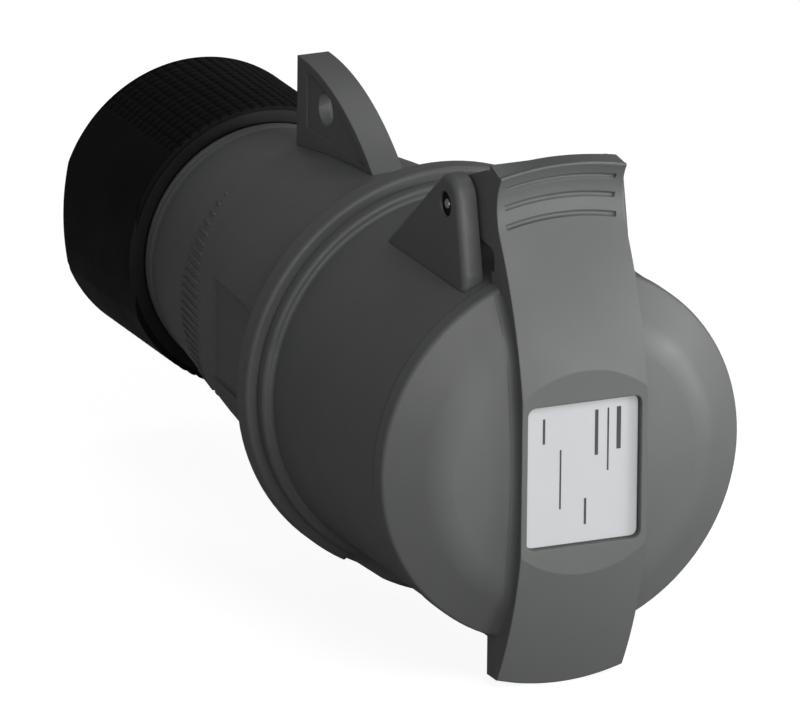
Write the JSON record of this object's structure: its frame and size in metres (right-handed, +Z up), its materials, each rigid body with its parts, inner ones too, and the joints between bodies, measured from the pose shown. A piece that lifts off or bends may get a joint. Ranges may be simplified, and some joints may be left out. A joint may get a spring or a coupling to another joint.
{
  "type": "industrial cable coupler",
  "caption": "Round industrial cable coupler: a sprung hinged lid covers a recessed pin-and-sleeve socket, and a screwed gland clamps the cable at the rear.",
  "frame": {"origin": "centre of the front housing's mouth, on the coupler's axis, where the plug's sleeve enters", "axes": "+Y along the axis from the mouth to the cable gland, +X to the right and +Z up as seen from in front of the lid, with the lid's hinge on top"},
  "size_m": [0.0812, 0.184, 0.1028],
  "materials": {
    "housing_plastic": "satin moulded",
    "lid_plastic": "satin moulded",
    "nut_plastic": "satin moulded",
    "insulator": "matt moulded",
    "soft_rubber": "matt",
    "gland_plastic": "matt moulded",
    "label_film": "matt",
    "contact_brass": "bright turned",
    "screw_steel": "zinc plated",
    "spring_steel": "bright"
  },
  "bodies": {
    "housing": {"front_housing": "housing_plastic", "hinge_bracket": "housing_plastic", "rear_housing": "housing_plastic", "hanging_fin": "housing_plastic", "housing_seal": "soft_rubber", "lid_hinge_pin": "screw_steel", "lid_spring": "spring_steel", "contact_carrier": "insulator", "carrier_skirt": "insulator", "contact_towers": "insulator", "screw_posts": "insulator", "carrier_cover": "insulator", "cover_screws": "screw_steel", "line_contact": "contact_brass", "neutral_contact": "contact_brass", "earth_contact": "contact_brass", "terminal_screws": "screw_steel", "contact_rings": "spring_steel", "clamping_basket": "gland_plastic", "cable_seal": "soft_rubber"},
    "lid": {"lid": "lid_plastic", "lid_gasket": "soft_rubber", "rating_label": "label_film"},
    "pressure_ring": {"pressure_ring": "gland_plastic"},
    "gland_nut": {"gland_nut": "nut_plastic"}
  },
  "joints": [
    {"name": "lid_hinge", "type": "hinge", "parent": "housing", "child": "lid", "pos_m": [0, 0.0112, 0.0475], "axis": [-1, 0, 0], "range_deg": [0, 115], "stiffness_Nm_per_rad": 0.035, "springref_deg": -85.94, "deforming": ["lid_spring"]},
    {"name": "ring_slide", "type": "slide", "parent": "housing", "child": "pressure_ring", "axis": [0, 1, 0], "range_m": [0, 0.009]},
    {"name": "nut_turn", "type": "hinge", "parent": "pressure_ring", "child": "gland_nut", "pos_m": [0, 0.15, 0], "axis": [0, 1, 0], "range_deg": [0, 1080]}
  ],
  "couplings": [
    {"joint": "ring_slide", "follows": "nut_turn", "m_per_rad": 0.000477}
  ]
}
